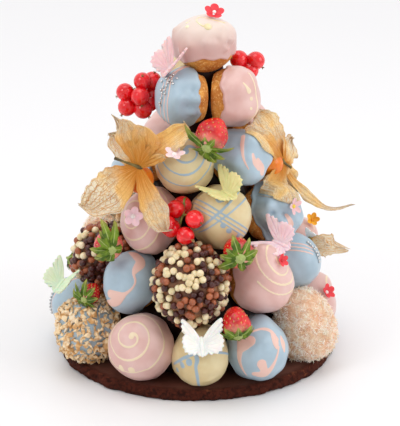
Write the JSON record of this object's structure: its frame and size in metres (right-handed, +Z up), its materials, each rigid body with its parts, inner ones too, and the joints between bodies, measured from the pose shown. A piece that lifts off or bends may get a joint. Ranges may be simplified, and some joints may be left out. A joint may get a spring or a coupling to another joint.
{
  "type": "croquembouche",
  "caption": "Tower of iced choux puffs on a chocolate cone and disc, dressed with berries, cape gooseberries in their husks, sugar butterflies and a flower.",
  "frame": {"origin": "centre of the chocolate disc's underside, on the surface that it stands on", "axes": "+Z up the tower, -Y towards the front, +X to the right seen from the front"},
  "size_m": [0.1613, 0.1683, 0.1921],
  "materials": {
    "dark_chocolate": "dark chocolate, satin on the top face and broken at the rim",
    "pink_icing": "poured pale pink icing, satin gloss",
    "blue_icing": "poured pale blue icing, satin gloss",
    "ivory_icing": "poured ivory white chocolate, satin gloss",
    "chocolate_pearls": "small crisp pearls in dark, milk and white chocolate",
    "chopped_nuts": "roasted chopped nuts, matt",
    "shredded_coconut": "fine pink and white coconut shreds, matt",
    "strawberry_red": "fresh strawberry, glossy red with pale seeds and a green calyx",
    "redcurrant": "fresh redcurrant, glossy and half clear",
    "dry_husk": "papery straw-coloured husk with raised veins round an orange fruit",
    "sugar_green": "pressed sugar, matt pale green",
    "sugar_yellow": "pressed sugar, matt pale yellow",
    "sugar_pink": "pressed sugar, matt pale pink",
    "sugar_white": "pressed sugar, matt white",
    "sugar_red": "pressed sugar, matt red"
  },
  "bodies": {
    "root": {"butterfly_green": "sugar_green", "butterfly_pink": "sugar_pink", "butterfly_top": "sugar_pink", "butterfly_white": "sugar_white", "butterfly_yellow": "sugar_yellow", "cape_gooseberry_behind": "dry_husk", "cape_gooseberry_left": "dry_husk", "cape_gooseberry_right": "dry_husk", "chocolate_core": "dark_chocolate", "chocolate_disc": "dark_chocolate", "currants_back": "redcurrant", "currants_front": "redcurrant", "currants_left": "redcurrant", "currants_right": "redcurrant", "flower_crown": "sugar_red", "puff_coconut": "shredded_coconut", "puff_coconut_left": "shredded_coconut", "puff_drops_back": "pink_icing", "puff_drops_crown": "pink_icing", "puff_drops_low": "pink_icing", "puff_drops_mid": "pink_icing", "puff_drops_top": "pink_icing", "puff_drops_upper_back": "pink_icing", "puff_drops_upper_left": "pink_icing", "puff_feather_mid": "blue_icing", "puff_ivory_back": "ivory_icing", "puff_ivory_low": "ivory_icing", "puff_ivory_top_back": "ivory_icing", "puff_lines_back": "ivory_icing", "puff_lines_mid": "ivory_icing", "puff_lines_upper_back": "ivory_icing", "puff_nut": "chopped_nuts", "puff_nut_back": "chopped_nuts", "puff_nut_left": "chopped_nuts", "puff_pearl_back": "chocolate_pearls", "puff_pearl_front": "chocolate_pearls", "puff_pearl_left": "chocolate_pearls", "puff_spiral_back": "pink_icing", "puff_spiral_big": "pink_icing", "puff_spiral_ivory": "ivory_icing", "puff_spiral_low": "pink_icing", "puff_spiral_mid": "pink_icing", "puff_spiral_upper_back": "pink_icing", "puff_striped_back": "blue_icing", "puff_striped_left": "blue_icing", "puff_striped_right": "blue_icing", "puff_striped_top": "blue_icing", "puff_striped_upper_left": "blue_icing", "puff_swirl_back": "blue_icing", "puff_swirl_low": "blue_icing", "puff_swirl_mid": "blue_icing", "puff_swirl_upper": "blue_icing", "puff_swirl_upper_back": "blue_icing", "strawberry_back": "strawberry_red", "strawberry_leafy": "strawberry_red", "strawberry_left": "strawberry_red", "strawberry_low": "strawberry_red", "strawberry_mid": "strawberry_red", "strawberry_small": "strawberry_red", "strawberry_top": "strawberry_red"}
  },
  "joints": []
}
